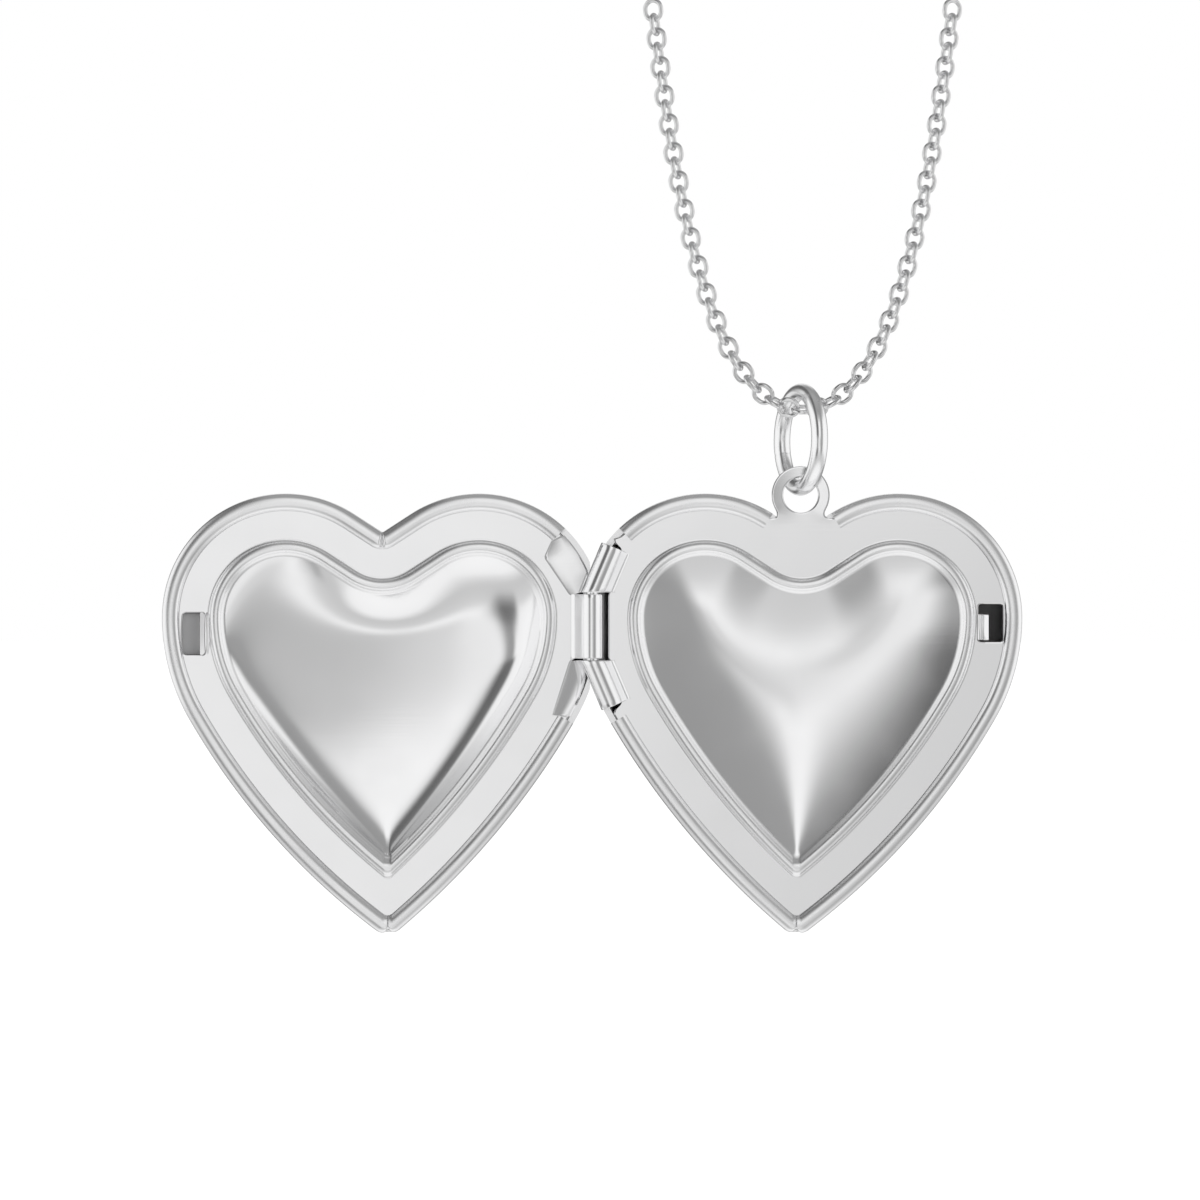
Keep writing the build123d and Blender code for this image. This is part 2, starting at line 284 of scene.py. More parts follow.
class Surface:
    """Points and faces gathered for one piece, with points (out, depth, up) on one half's side."""

    def __init__(self, side=BACK):
        self.side = side
        self.points = []
        self.faces = []
        self.looks = []
        self.look = FLAT  # which of the piece's materials new faces get

    def add(self, points, faces):
        first = len(self.points)
        self.points.extend(np.asarray(points, float).tolist())
        self.faces.extend([[first + i for i in face] for face in faces])
        self.looks.extend([self.look] * len(faces))

    def grid(self, rows, closed=True):
        """Quads between successive rows of the same length."""
        count = len(rows[0])
        faces = []
        for r in range(len(rows) - 1):
            for c in range(count if closed else count - 1):
                nxt = (c + 1) % count
                here, below = r * count, (r + 1) * count
                faces.append([here + c, here + nxt, below + nxt, below + c])
        self.add(np.concatenate(rows), faces)

    def fan(self, row, point):
        """Triangles from a closed row to one point."""
        count = len(row)
        self.add(np.concatenate([row, [point]]), [[i, (i + 1) % count, count] for i in range(count)])

    def cap(self, row):
        """One flat face over a closed row."""
        self.add(row, [list(range(len(row)))])

    def flat(self, loops, depth, between):
        """A flat region inside the first loop and outside the others, with free points between them."""
        points = np.concatenate(loops + [between])
        edges = []
        first = 0
        for loop in loops:
            count = len(loop)
            edges += [(first + i, first + (i + 1) % count) for i in range(count)]
            first += count
        made = geometry.delaunay_2d_cdt([Vector(p) for p in points], edges, [], 0, 1e-6)
        corners = np.array([tuple(p) for p in made[0]])
        faces = np.array([list(f) for f in made[2]])
        middles = corners[faces].mean(axis=1)
        kept = inside(middles, loops[0])
        for hole in loops[1:]:
            kept &= ~inside(middles, hole)
        self.add(at_depth(corners, depth), faces[kept].tolist())

    def edge(self, loop, ease, front, back):
        """The rounded cut edge of a sheet."""
        middle = (loop + ease) / 2 + (loop - ease) * 0.2
        near = EDGE_ROUND * 0.3
        self.grid(
            [
                at_depth(ease, front),
                at_depth(middle, front + near),
                at_depth(loop, front + EDGE_ROUND),
                at_depth(loop, back - EDGE_ROUND),
                at_depth(middle, back - near),
                at_depth(ease, back),
            ]
        )

    def finish(self, name, body, nodes, slot, materials, sharp=38):
        """Make the mesh object, join its points, hand it to its body, and hide the nodes it stands for."""
        mesh = bpy.data.meshes.new(name)
        flip = np.array([self.side, 1, 1])
        mesh.from_pydata((np.array(self.points) * flip * MM).tolist(), [], self.faces)
        mesh.polygons.foreach_set("material_index", self.looks)
        work = bmesh.new()
        work.from_mesh(mesh)
        bmesh.ops.remove_doubles(work, verts=work.verts, dist=0.0015 * MM)
        bmesh.ops.dissolve_degenerate(work, edges=work.edges, dist=0.0005 * MM)
        bmesh.ops.recalc_face_normals(work, faces=work.faces)
        work.to_mesh(mesh)
        work.free()
        for polygon in mesh.polygons:
            polygon.use_smooth = True
        mesh.set_sharp_from_angle(angle=math.radians(sharp))
        for material in materials:
            mesh.materials.append(material)
        piece = bpy.data.objects.new(name, mesh)
        bpy.context.scene.collection.objects.link(piece)
        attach(piece, body)
        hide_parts(*nodes)
        return piece


def at_depth(points, depth):
    """(out, up) points as (out, depth, up)."""
    points = np.asarray(points, float)
    depths = np.broadcast_to(np.asarray(depth, float), (len(points),))
    return np.stack([points[:, 0], depths, points[:, 1]], axis=1)


def inside(points, loop):
    """Whether each point is inside a closed loop."""
    start, end = loop, np.roll(loop, -1, axis=0)
    crosses = (start[:, 1] > points[:, 1:2]) != (end[:, 1] > points[:, 1:2])
    rise = np.where(end[:, 1] == start[:, 1], 1e-12, end[:, 1] - start[:, 1])
    meets = start[:, 0] + (points[:, 1:2] - start[:, 1]) * (end[:, 0] - start[:, 0]) / rise
    return np.sum(crosses & (meets > points[:, :1]), axis=1) % 2 == 1


def grow(loop, distance):
    """A closed loop moved outwards by a distance, or inwards if negative."""
    ahead = np.roll(loop, -1, axis=0) - loop
    ahead = ahead / np.maximum(np.linalg.norm(ahead, axis=1), 1e-9)[:, None]
    behind = np.roll(ahead, 1, axis=0)
    area = np.sum(loop[:, 0] * np.roll(loop[:, 1], -1) - np.roll(loop[:, 0], -1) * loop[:, 1])
    turn = np.sign(area)
    normal = np.stack([ahead[:, 1] + behind[:, 1], -ahead[:, 0] - behind[:, 0]], axis=1) * turn
    length = np.maximum(np.sum(normal**2, axis=1), 0.4)
    return loop + normal * (2 * distance / length)[:, None]


def round_box(near, far, low, high, radius, bulge=0.0):
    """A loop round a rectangle with round corners; bulge pushes its upright sides outwards like a barrel."""
    corners = [(far - radius, high - radius, 90), (near + radius, high - radius, 180)]
    corners += [(near + radius, low + radius, 270), (far - radius, low + radius, 360)]
    parts = []
    side_ends = {180: (near, low + radius), 360: (far, high - radius)}
    for out, up, end in corners:
        parts.append(arc((out, up), radius, end - 90, end, 6))
        turn = math.radians(end)
        start = (out + radius * math.cos(turn), up + radius * math.sin(turn))
        if end in side_ends:
            parts.append(segment(start, side_ends[end], 10))
        else:
            parts.append(np.array([start]))
    loop = np.concatenate(parts)
    share = (loop[:, 1] - (low + high) / 2) / ((high - low) / 2)
    push = bulge * (1 - share**2)
    loop[:, 0] += np.where(loop[:, 0] > (near + far) / 2, push, -push)
    return loop


def soft_distance(points, edge):
    """Distance in from a closed edge, rounded where two sides are equally near."""
    fine = []
    for share in np.linspace(0, 1, 10, endpoint=False):
        fine.append(edge * (1 - share) + np.roll(edge, -1, axis=0) * share)
    fine = np.stack(fine, axis=1).reshape(-1, 2)
    step = np.linalg.norm(np.roll(fine, -1, axis=0) - fine, axis=1)
    power = 6  # the higher, the tighter the rounding
    made = []
    for block in np.array_split(points, max(1, len(points) // 400)):
        away = np.linalg.norm(block[:, None, :] - fine[None, :, :], axis=2)
        made.append(np.sum(step / np.maximum(away, 1e-3) ** power, axis=1))
    straight = math.sqrt(math.pi) * math.gamma((power - 1) / 2) / math.gamma(power / 2)
    return (straight / np.concatenate(made)) ** (1 / (power - 1))


BOWLS = {}


def bowl_places(inset, count):
    """Rows of places from a closed edge in to the middle, each with its soft distance from the edge."""
    if (inset, count) not in BOWLS:
        edge = ring(inset)
        middle = np.array([HEART_CENTRE, BOWL_HEIGHT])
        rows = []
        for k in range(1, count):
            share = (k / count) ** 1.4
            points = edge * (1 - share) + middle * share
            rows.append((points, soft_distance(points, edge)))
        centre = middle[None, :]
        BOWLS[(inset, count)] = rows, (centre, soft_distance(centre, edge))
    return BOWLS[(inset, count)]


def bowl_rows(inset, depth_of, count):
    """Rows over a bowl and its middle point, with the depth a function of the distance in and the place."""
    rows, (centre, reach) = bowl_places(inset, count)
    made = [at_depth(points, depth_of(inward, points)) for points, inward in rows]
    return made, at_depth(centre, depth_of(reach, centre))[0]


def dome_depth(inset):
    """Depth of the shell's outer skin at an inset."""
    return DOME_START + DOME_RISE * (1 - np.exp(-((np.maximum(inset, 0) / DOME_SCALE) ** DOME_POWER)))


def clip_wall(points, limit):
    """Keep a row of (out, depth, up) points on its own side of the hinge line."""
    made = points.copy()
    made[:, 0] = np.maximum(made[:, 0], limit)
    return made


def gap_columns(side):
    """(column, whether the rim is missing) round the outline; a repeated column makes a clean rim end."""
    outline = ring(0.4)
    near = outline[:, 0] < HINGE_SIDE
    gap = near & (np.abs(outline[:, 1] - HINGE_HEIGHT) < RIM_GAP)
    if side == BACK:
        top = outline[:, 1] > HINGE_HEIGHT + 3
        gap |= top & (outline[:, 0] > BAIL_GAP[0]) & (outline[:, 0] < BAIL_GAP[1])
    columns = []
    for c in range(len(outline)):
        if gap[c] and not gap[c - 1]:
            columns.append((c - 1, True))
        if gap[c - 1] and not gap[c]:
            columns.append((c, True))
        columns.append((c, bool(gap[c])))
    return columns


def seam(row, side, inset, depth):
    """Open the mitre at the tip and, on the front half, the fold at the cleft."""
    column = np.arange(len(row))
    tip = CLEFT_COLUMNS + LINE_COLUMNS + LOBE_COLUMNS + SHOULDER_COLUMNS + FLANK_COLUMNS + TIP_COLUMNS
    from_tip = np.abs(column - tip)
    on_lip = depth < LIP_DEPTH
    if on_lip:
        row[:, 1] += MITRE_DEPTH * np.exp(-((from_tip / MITRE_COLUMNS) ** 2))
    if inset < MITRE_INSET:
        lift = MITRE_LIFT * (1 - inset / MITRE_INSET)
        row[:, 2] += lift * np.exp(-((from_tip / MITRE_LIFT_COLUMNS) ** 2))
    if side == FRONT and on_lip:
        from_cleft = np.minimum(column, len(row) - column)
        row[:, 1] += CLEFT_FOLD_DEPTH * np.exp(-((from_cleft / CLEFT_FOLD_COLUMNS) ** 2))


def shell(side, name, body, materials):
    """Domed outer shell: outer skin, rolled rim, and inner skin, in one closed surface."""
    surface = Surface(side)
    edge_inset = DOME_INSETS[-1]
    columns = gap_columns(side)
    index = np.array([c for c, _ in columns])
    gap = np.array([g for _, g in columns])

    def pick(points):
        return points[index]

    def skin(shift):
        """The dome's rows and middle point, nearer the viewer by a shift."""
        return bowl_rows(edge_inset, lambda inward, _: dome_depth(edge_inset + inward) - shift, DOME_ROWS)

    outer, outer_middle = skin(0.0)
    inner, inner_middle = skin(WALL)
    rows = [pick(row) for row in outer[::-1]]
    rows += [pick(at_depth(ring(i), dome_depth(i))) for i in DOME_INSETS[::-1]]
    for inset, depth in LIP_PROFILE + LIP_UNDER:
        row = at_depth(ring(inset), depth)
        seam(row, side, inset, depth)
        row = pick(row)
        ends = pick(at_depth(ring(min(inset, WALL)), max(depth, HINGE_RELIEF)))
        row[gap] = ends[gap]
        rows.append(row)
    for i in DOME_INSETS[3:]:
        rows.append(pick(at_depth(ring(WALL + i * (edge_inset - WALL) / edge_inset), dome_depth(i) - WALL)))
    rows += [pick(row) for row in inner]
    lip_from = len(outer) + len(DOME_INSETS)
    under_from = lip_from + len(LIP_PROFILE)
    inside_from = under_from + len(LIP_UNDER)
    for k, row in enumerate(rows):
        rows[k] = clip_wall(row, WALL_FROM_HINGE if k < under_from else WALL_FROM_HINGE + WALL)
    surface.grid(rows[:lip_from + 1])
    surface.fan(rows[0], outer_middle)
    surface.look = ROUNDED
    surface.grid(rows[lip_from:inside_from])
    # The inner skin takes the rough, darkened silver: its darker colour is painted shade inside the cavity.
    surface.look = UNPOLISHED_PAINTED_SHADE
    surface.grid(rows[inside_from - 1:])
    surface.fan(rows[-1], inner_middle)
    return surface.finish(name + "_dome", body, [name], "polished_sheet", materials)


def plate_outer(side):
    """The plate's outer loop: the outline, straight along the hinge, and the bail on the back half."""
    outline = ring(PLATE_INSET)
    gap = RIM_GAP - 0.05
    near = outline[:, 0] < HINGE_SIDE
    at_hinge = near & (np.abs(outline[:, 1] - HINGE_HEIGHT) < gap)
    first = int(np.argmax(at_hinge))
    last = len(at_hinge) - 1 - int(np.argmax(at_hinge[::-1]))
    if side == BACK:
        cut = [
            (POCKET_EDGE, POCKET_HALF - 0.05), (0.8, POCKET_HALF), (1.3, 3.5), (1.06, 3.74), (0.98, gap),
        ]
        cut = [(out, -up) for out, up in cut[::-1]] + cut
    else:
        cut = [
            (1.75, -gap), (0.97, -1.6), (0.72, -1.44), (0.72, 1.44), (0.97, 1.44), (2.12, 3.14), (1.8, 3.85),
        ]
    cut = [(out, up + HINGE_HEIGHT) for out, up in cut]
    loop = [outline[:first], ease_corners(cut, 0.09), outline[last + 1:]]
    points = np.concatenate(loop)
    if side == BACK:
        upper = points[:, 1] > HINGE_HEIGHT
        before = (points[:, 0] < BAIL_OUT - BAIL_FOOT) & upper
        right = int(np.argmax((points[:, 0] > BAIL_OUT + BAIL_FOOT) & upper))
        left = len(points) - 1 - int(np.argmax(before[::-1]))
        start, end = points[left], points[right]
        bail = np.array([BAIL_OUT, BAIL_HEIGHT])
        turn = math.radians(-BAIL_NECK_TURN)
        on_ring = BAIL_RADIUS * np.array([math.cos(turn), math.sin(turn)])
        down = 0.45 * np.array([math.sin(turn), -math.cos(turn)])
        flip = np.array([-1, 1])
        left_neck = bail + on_ring * flip
        up_left = bezier(start, start + (0.5, -0.12), left_neck + down * flip, left_neck, 10)
        over = arc(bail, BAIL_RADIUS, 180 + BAIL_NECK_TURN, -BAIL_NECK_TURN, 70)
        down_right = bezier(bail + on_ring, bail + on_ring + down, end + (-0.5, -0.12), end, 10)
        points = np.concatenate([points[right:left], up_left, over, down_right])
    return points


def ease_corners(corners, radius):
    """An open run of corner points with the inner ones rounded."""
    made = [np.array([corners[0]])]
    for before, corner, after in zip(corners, corners[1:], corners[2:]):
        corner = np.array(corner, float)
        back = np.array(before) - corner
        ahead = np.array(after) - corner
        back = back / np.linalg.norm(back) * min(radius, np.linalg.norm(back) / 2.1)
        ahead = ahead / np.linalg.norm(ahead) * min(radius, np.linalg.norm(ahead) / 2.1)
        handles = corner + back * 0.45, corner + ahead * 0.45
        made.append(bezier(corner + back, *handles, corner + ahead, 6, last=True))
    made.append(np.array([corners[-1]]))
    return np.concatenate(made)


def back_dish(inward, points):
    """Depth of the back half's dish below the bead's foot: steepest at its edge and towards the hinge."""
    to_hinge = HEART_CENTRE - points[:, 0]
    bend = DISH_BEND - DISH_BEND_SIDE * np.clip(to_hinge / 5, -1, 1)
    return (DISH_SLOPE + DISH_LEAN * to_hinge) * inward - bend * inward**2


def front_dish(inward, points):
    """Depth of the front half's dish: a floor that sinks towards the hinge, with a wall round it."""
    share = 1 + (FLOOR_LOWEST - points[:, 0]) / FLOOR_SPAN
    floor_depth = FLOOR_START + FLOOR_SLOPE * FLOOR_SPAN * (share - share**4 / 4)
    height = points[:, 1] - FLOOR_MIDDLE
    floor_depth -= np.where(height > 0, FLOOR_BOW_UP, FLOOR_BOW) * height**2
    below = FLOOR_TWIST_EASE * np.log1p(np.exp(-height / FLOOR_TWIST_EASE))
    floor_depth += FLOOR_TWIST * (points[:, 0] - HEART_CENTRE) * below
    top = np.clip((height - 1) / 4, 0, 1)
    wall = FLOOR_WALL + FLOOR_WALL_TOP * top**2 * (3 - 2 * top)
    return floor_depth * (1 - np.exp(-inward / wall))


def dish(surface, form):
    """The bead and the dish as front and back skins that start at the flange."""
    inset, start_depth = DISH_START
    for shift in (0.0, PLATE_THICKNESS):
        rows = [at_depth(ring(FOOT_INSET), PLATE_FRONT + shift)]
        rows += [at_depth(ring(i), depth + shift) for i, depth in BEAD_PROFILE]
        level = start_depth + shift
        inner, centre = bowl_rows(inset, lambda inward, points: level + form(inward, points), DISH_ROWS)
        surface.look = ROUNDED
        surface.grid(rows)
        surface.look = FLAT
        surface.grid(rows[-1:] + inner)
        surface.fan(inner[-1], centre)


def plate(side, name, body, materials):
    """Dished inner plate with its hinge curls and latch."""
    surface = Surface(side)
    foot = ring(FOOT_INSET)
    outer = plate_outer(side)
    if side == BACK:
        hole = arc((BAIL_OUT, BAIL_HEIGHT), BAIL_HOLE, 0, 360, 72)
        window = round_box(WINDOW_NEAR, WINDOW_FAR, HINGE_HEIGHT - 0.7, HINGE_HEIGHT + 1.0, 0.12)
        holes = [hole, window]
    else:
        low, high = CATCH_LOW + 0.02, CATCH_HIGH - 0.04
        window = round_box(WINDOW_NEAR + 0.06, WINDOW_FAR - 0.08, low, high, 0.14, 0.06)
        holes = [window]
    front, back = PLATE_FRONT, PLATE_FRONT + PLATE_THICKNESS
    eased = [grow(outer, -EDGE_ROUND)] + [grow(loop, EDGE_ROUND) for loop in holes]
    kept = [grow(outer, -EDGE_ROUND - EDGE_STRIP)] + [grow(loop, EDGE_ROUND + EDGE_STRIP) for loop in holes]
    free = np.zeros((0, 2))
    if side == BACK:
        tab = [(BAIL_OUT + 0.22 * i, BAIL_HEIGHT - 1.6 + 0.22 * k) for i in range(-7, 8) for k in range(9)]
        tab = np.array(tab)
        well_in = inside(tab, grow(kept[0], -0.08)) & ~inside(tab, grow(kept[1], 0.08))
        free = tab[well_in & (tab[:, 1] > foot[:, 1].max() + 0.3)]
    for depth in (front, back):
        surface.flat(kept + [foot], depth, free)
        for ease, keep in zip(eased, kept):
            surface.grid([at_depth(ease, depth), at_depth(keep, depth)])
    for loop, ease in zip([outer] + holes, eased):
        surface.edge(loop, ease, front, back)
    if side == BACK:
        dish(surface, back_dish)
        for up in (1, -1):
            lug(surface, up)
        tongue(surface)
        pocket_floor(surface)
        bow_bail(surface)
    else:
        dish(surface, front_dish)
        knuckle(surface)
        catch(surface)
        skirts(surface)
    return surface.finish(name + "_sheet", body, [name], "polished_sheet", materials)


def bow_bail(surface):
    """Bow the bail a little, so its sides stand forward of its middle line."""
    for point in surface.points:
        across = point[0] - BAIL_OUT
        share = min(max((point[2] - BAIL_HEIGHT + 1.2) / 0.7, 0), 1)
        if share > 0 and abs(across) < 1.45:
            point[1] += (0.012 * across - 0.045 * across**2) * share**2 * (3 - 2 * share)


def curl(radius, foot, front, thickness):
    """A curled sheet's cross-section: a ramp up from the flange, over the pin and down the far side."""
    def on(reach, degrees):
        """A point at a distance and angle from the pin."""
        turn = math.radians(degrees)
        return np.array([reach * math.cos(turn), -reach * math.sin(turn)])

    def along(degrees):
        """The direction round the pin at an angle."""
        turn = math.radians(degrees)
        return np.array([-math.sin(turn), -math.cos(turn)])

    top = 52  # degrees up from the flange where the ramp meets the curl
    inner = radius - thickness
    crest = on(radius, top)
    outside = bezier((foot, front), (foot - 0.28, front), crest - 0.3 * along(top), crest, 12)
    over = np.array([on(radius, d) for d in np.linspace(top, 300, 36)])
    end = np.array([on(radius - thickness / 2, 306)])
    under = np.array([on(inner, d) for d in np.linspace(300, top - 8, 30)])
    start, level = on(inner, top - 12), front + thickness
    back = bezier(start, start - 0.12 * along(top), (foot - 0.2, level), (foot, level), 10, last=True)
    return np.concatenate([outside, over, end, under, back])


def lug(surface, up):
    """One outer hinge curl, leaning with the outline and cut level at its foot."""
    profile = curl(LUG_RADIUS, LUG_FOOT, PLATE_FRONT + CURL_LIFT, LUG_SHEET)
    foot_out, foot_up = LUG_LOW
    head_out, head_up = LUG_HIGH
    lean = math.atan2(head_out - foot_out, head_up - foot_up)
    across = np.array([math.cos(lean), -math.sin(lean)])
    rows = []
    steps = [(0.0, 0.94), (0.012, 0.985), (0.03, 1.0)] + [(s, 1.0) for s in np.linspace(0.1, 0.9, 9)]
    steps += [(0.975, 1.0), (0.992, 0.985), (1.0, 0.94)]
    centre = np.array([0.1, -0.05])
    for share, size in steps:
        eased = centre + (profile - centre) * size
        foot = np.stack([foot_out + eased[:, 0] / across[0], np.full(len(eased), foot_up)], axis=1)
        head = np.array([head_out, head_up]) + eased[:, :1] * across
        place = foot * (1 - share) + head * share
        rows.append(np.stack([place[:, 0], eased[:, 1], HINGE_HEIGHT + up * place[:, 1]], axis=1))
    surface.grid(rows)
    surface.cap(rows[0])
    surface.cap(rows[-1])


def pocket_floor(surface):
    """The dull sheet seen in the slot beside the middle curl, darkened in colour as painted shade in that
    slot.
    """
    surface.look = UNPOLISHED_PAINTED_SHADE
    path = [(0.3, 0.7), (0.42, 0.7), (0.54, 0.74), (0.65, 0.82)]
    extruded(surface, strip(path, 0.08), HINGE_HEIGHT - POCKET_HALF, HINGE_HEIGHT + POCKET_HALF)
    surface.look = FLAT


def knuckle(surface):
    """The middle hinge curl."""
    profile = curl(KNUCKLE_RADIUS, KNUCKLE_FOOT, PLATE_FRONT + CURL_LIFT, KNUCKLE_SHEET)
    half = KNUCKLE_HALF
    centre = np.array([0.15, -0.05])
    steps = [(-half, 0.95), (-half + 0.02, 0.985), (-half + 0.05, 1.0)]
    steps += [(up, 1.0) for up in np.linspace(-half + 0.2, half - 0.2, 7)]
    steps += [(half - 0.05, 1.0), (half - 0.02, 0.985), (half, 0.95)]
    rows = []
    for up, size in steps:
        eased = centre + (profile - centre) * size
        rows.append(np.stack([eased[:, 0], eased[:, 1], np.full(len(eased), HINGE_HEIGHT + up)], axis=1))
    surface.grid(rows)
    surface.cap(rows[0])
    surface.cap(rows[-1])


def strip(path, thickness):
    """The closed cross-section of a bent strip along a path."""
    path = np.array(path, float)
    ahead = np.gradient(path, axis=0)
    ahead /= np.linalg.norm(ahead, axis=1)[:, None]
    normal = np.stack([-ahead[:, 1], ahead[:, 0]], axis=1) * thickness / 2
    return np.concatenate([path + normal, [path[-1] + ahead[-1] * thickness * 0.4], (path - normal)[::-1]])


def extruded(surface, profile, low, high, ease=0.03):
    """A cross-section carried up from low to high with eased ends."""
    centre = profile.mean(axis=0)
    rows = []
    for up, size in [(low, 0.9), (low + ease * 0.3, 0.97), (low + ease, 1), (high - ease, 1),
                     (high - ease * 0.3, 0.97), (high, 0.9)]:
        eased = centre + (profile - centre) * size
        rows.append(np.stack([eased[:, 0], eased[:, 1], np.full(len(eased), up)], axis=1))
    surface.grid(rows)
    surface.cap(rows[0])
    surface.cap(rows[-1])


def tongue(surface):
    """The latch tongue, cut from its window and bent up towards the viewer."""
    middle = PLATE_FRONT + PLATE_THICKNESS / 2
    path = [(17.3, middle), (17.4, middle), (17.52, middle)]
    path += [tuple(p) for p in arc((17.62, middle - 0.2), 0.2, 90, 10, 8)]
    path += [(17.835, 0.1), (17.85, -0.2), (17.86, -0.45), (17.86, -0.62), (17.85, -0.7)]
    extruded(surface, strip(path, TONGUE_SHEET), TONGUE_LOW, TONGUE_HIGH)


def catch(surface):
    """The raised strip on the dish side of the catch window, and the folded sheet seen through it, whose far
    part is darkened as painted shade.
    """
    rows = []
    for share in np.linspace(0, 1, 17):
        up = CATCH_LOW + (CATCH_HIGH - CATCH_LOW) * share
        swell = math.sin(math.pi * share) ** 0.5
        bulge = 17.6 + 0.07 * swell
        crest = PLATE_FRONT + 0.01 - 0.17 * swell
        turn = np.radians(np.linspace(0, 360, 14, endpoint=False))
        width = 0.06 + 0.07 * swell
        out = bulge - width + width * np.cos(turn)
        depth = (crest + 0.5) / 2 + (0.5 - crest) / 2 * np.sin(turn)
        rows.append(np.stack([out, depth, np.full(len(turn), up)], axis=1))
    surface.grid(rows)
    surface.cap(rows[0])
    surface.cap(rows[-1])
    fold = [(17.57, 0.62), (17.6, 0.88), (17.64, 1.0), (17.93, 0.97)]
    beyond = [(17.97, 0.99), (18.4, 0.87), (18.78, 0.76)]
    # The far part takes the rough, darkened silver: painted shade inside the catch window.
    for path, look in ((fold, FLAT), (beyond, UNPOLISHED_PAINTED_SHADE)):
        surface.look = look
        extruded(surface, strip(path, 0.1), CATCH_LOW + 0.02, CATCH_HIGH - 0.05)
    surface.look = FLAT


def skirts(surface):
    """The two facets bent down beside the middle curl, from the plate's cut to the shell's edge."""
    outline = ring(FACET_INSET)
    upper = [(0.99, 1.42), (2.12, 3.12), (1.9, 3.92)], (0, 0.75, 1), (0.37, 0.52, 0.57, 0.58, 0.62, 0.76)
    lower = [(0.99, -1.58), (1.4, -2.88), (1.78, -4.05)], (0, 0.55, 1), (0.37, 0.372, 0.45, 0.56, 0.7, 0.76)
    for up, (cut, bends, depths) in ((1, upper), (-1, lower)):
        lift = up * (outline[:, 1] - HINGE_HEIGHT)
        picked = (outline[:, 0] < HINGE_SIDE) & (lift > 1.45) & (lift < RIM_GAP + 0.1)
        rim = outline[picked][np.argsort(lift[picked])]
        share = np.linspace(0, 1, len(rim))
        top = np.stack([np.interp(share, bends, [c[k] for c in cut]) for k in (0, 1)], axis=1)
        top[:, 1] += HINGE_HEIGHT
        rim[:, 0] = np.maximum(rim[:, 0], 0.16)
        rows = []
        for part, depth in zip((0.0, 0.04, 0.35, 0.7, 0.94, 1.0), depths):
            rows.append(at_depth(top * (1 - part) + rim * part, depth))
        thickness = np.array([0, FACET_SHEET, 0])
        back = [row + thickness for row in rows]
        surface.grid(rows, closed=False)
        surface.grid(back, closed=False)
        border = np.concatenate([rows[0], rows[-1][::-1]])
        surface.grid([border, border + thickness])


# Chain and jump ring


def tube(surface, centres, normals, radius):
    """A closed round wire through centre points, with one outward direction for each."""
    ahead = np.roll(centres, -1, axis=0) - np.roll(centres, 1, axis=0)
    ahead /= np.linalg.norm(ahead, axis=1)[:, None]
    side = np.cross(ahead, normals)
    rows = []
    for degrees in np.linspace(0, 360, 20, endpoint=False):
        turn = math.radians(degrees)
        rows.append(centres + (normals * math.cos(turn) + side * math.sin(turn)) * radius[:, None])
    surface.grid(rows + rows[:1])


def jump_ring(material):
    """Round wire ring, with the fine seam where its ends were soldered."""
    surface = Surface()
    middle = np.array((ring_low + ring_high) / 2) / MM
    half = np.array((ring_high - ring_low) / 2) / MM
    radius = half[2] - RING_WIRE
    turn = math.asin((half[0] - RING_WIRE) / radius)
    across = np.array([math.sin(turn), -math.cos(turn), 0])
    angles = np.radians(np.linspace(0, 360, 180, endpoint=False))
    outward = np.cos(angles)[:, None] * across + np.sin(angles)[:, None] * np.array([0, 0, 1])
    from_seam = np.abs(angles - math.radians(SEAM_TURN)) * radius
    reach = RING_WIRE * (1 - 0.035 * np.exp(-((from_seam / 0.035) ** 2)))
    tube(surface, middle + outward * radius, outward, reach)
    return surface.finish("jump_ring_wire", "jump_ring", ["jump_ring"], "wire", [material], sharp=80)


def link_islands(node):
    """The middle of each separate solid in a chain node, lowest first, in millimetres."""
    mesh = frame["nodes"][node].data
    work = bmesh.new()
    work.from_mesh(mesh)
    bmesh.ops.remove_doubles(work, verts=work.verts, dist=1e-7)
    seen, found = set(), []
    for vertex in work.verts:
        if vertex.index in seen:
            continue
        pile, island = [vertex], []
        seen.add(vertex.index)
        while pile:
            one = pile.pop()
            island.append(one.co.copy())
            for edge in one.link_edges:
                other = edge.other_vert(one)
                if other.index not in seen:
                    seen.add(other.index)
                    pile.append(other)
        points = np.array(island)
        found.append((points.min(0) + points.max(0)) / 2 / MM)
    work.free()
    return sorted(found, key=lambda p: p[2])


def chain_run():
    """Every link along the chain from the left end to the right end: (node, middle)."""
    left = [n for n in sorted(frame["nodes"]) if n.startswith("link_left_")]
    right = [n for n in sorted(frame["nodes"]) if n.startswith("link_right_")]
    run = [("links_left_end", p) for p in link_islands("links_left_end")[::-1]]
    for node in left[::-1] + ["link_middle"] + right:
        run += [(node, p) for p in link_islands(node)]
    run += [("links_right_end", p) for p in link_islands("links_right_end")]
    return run


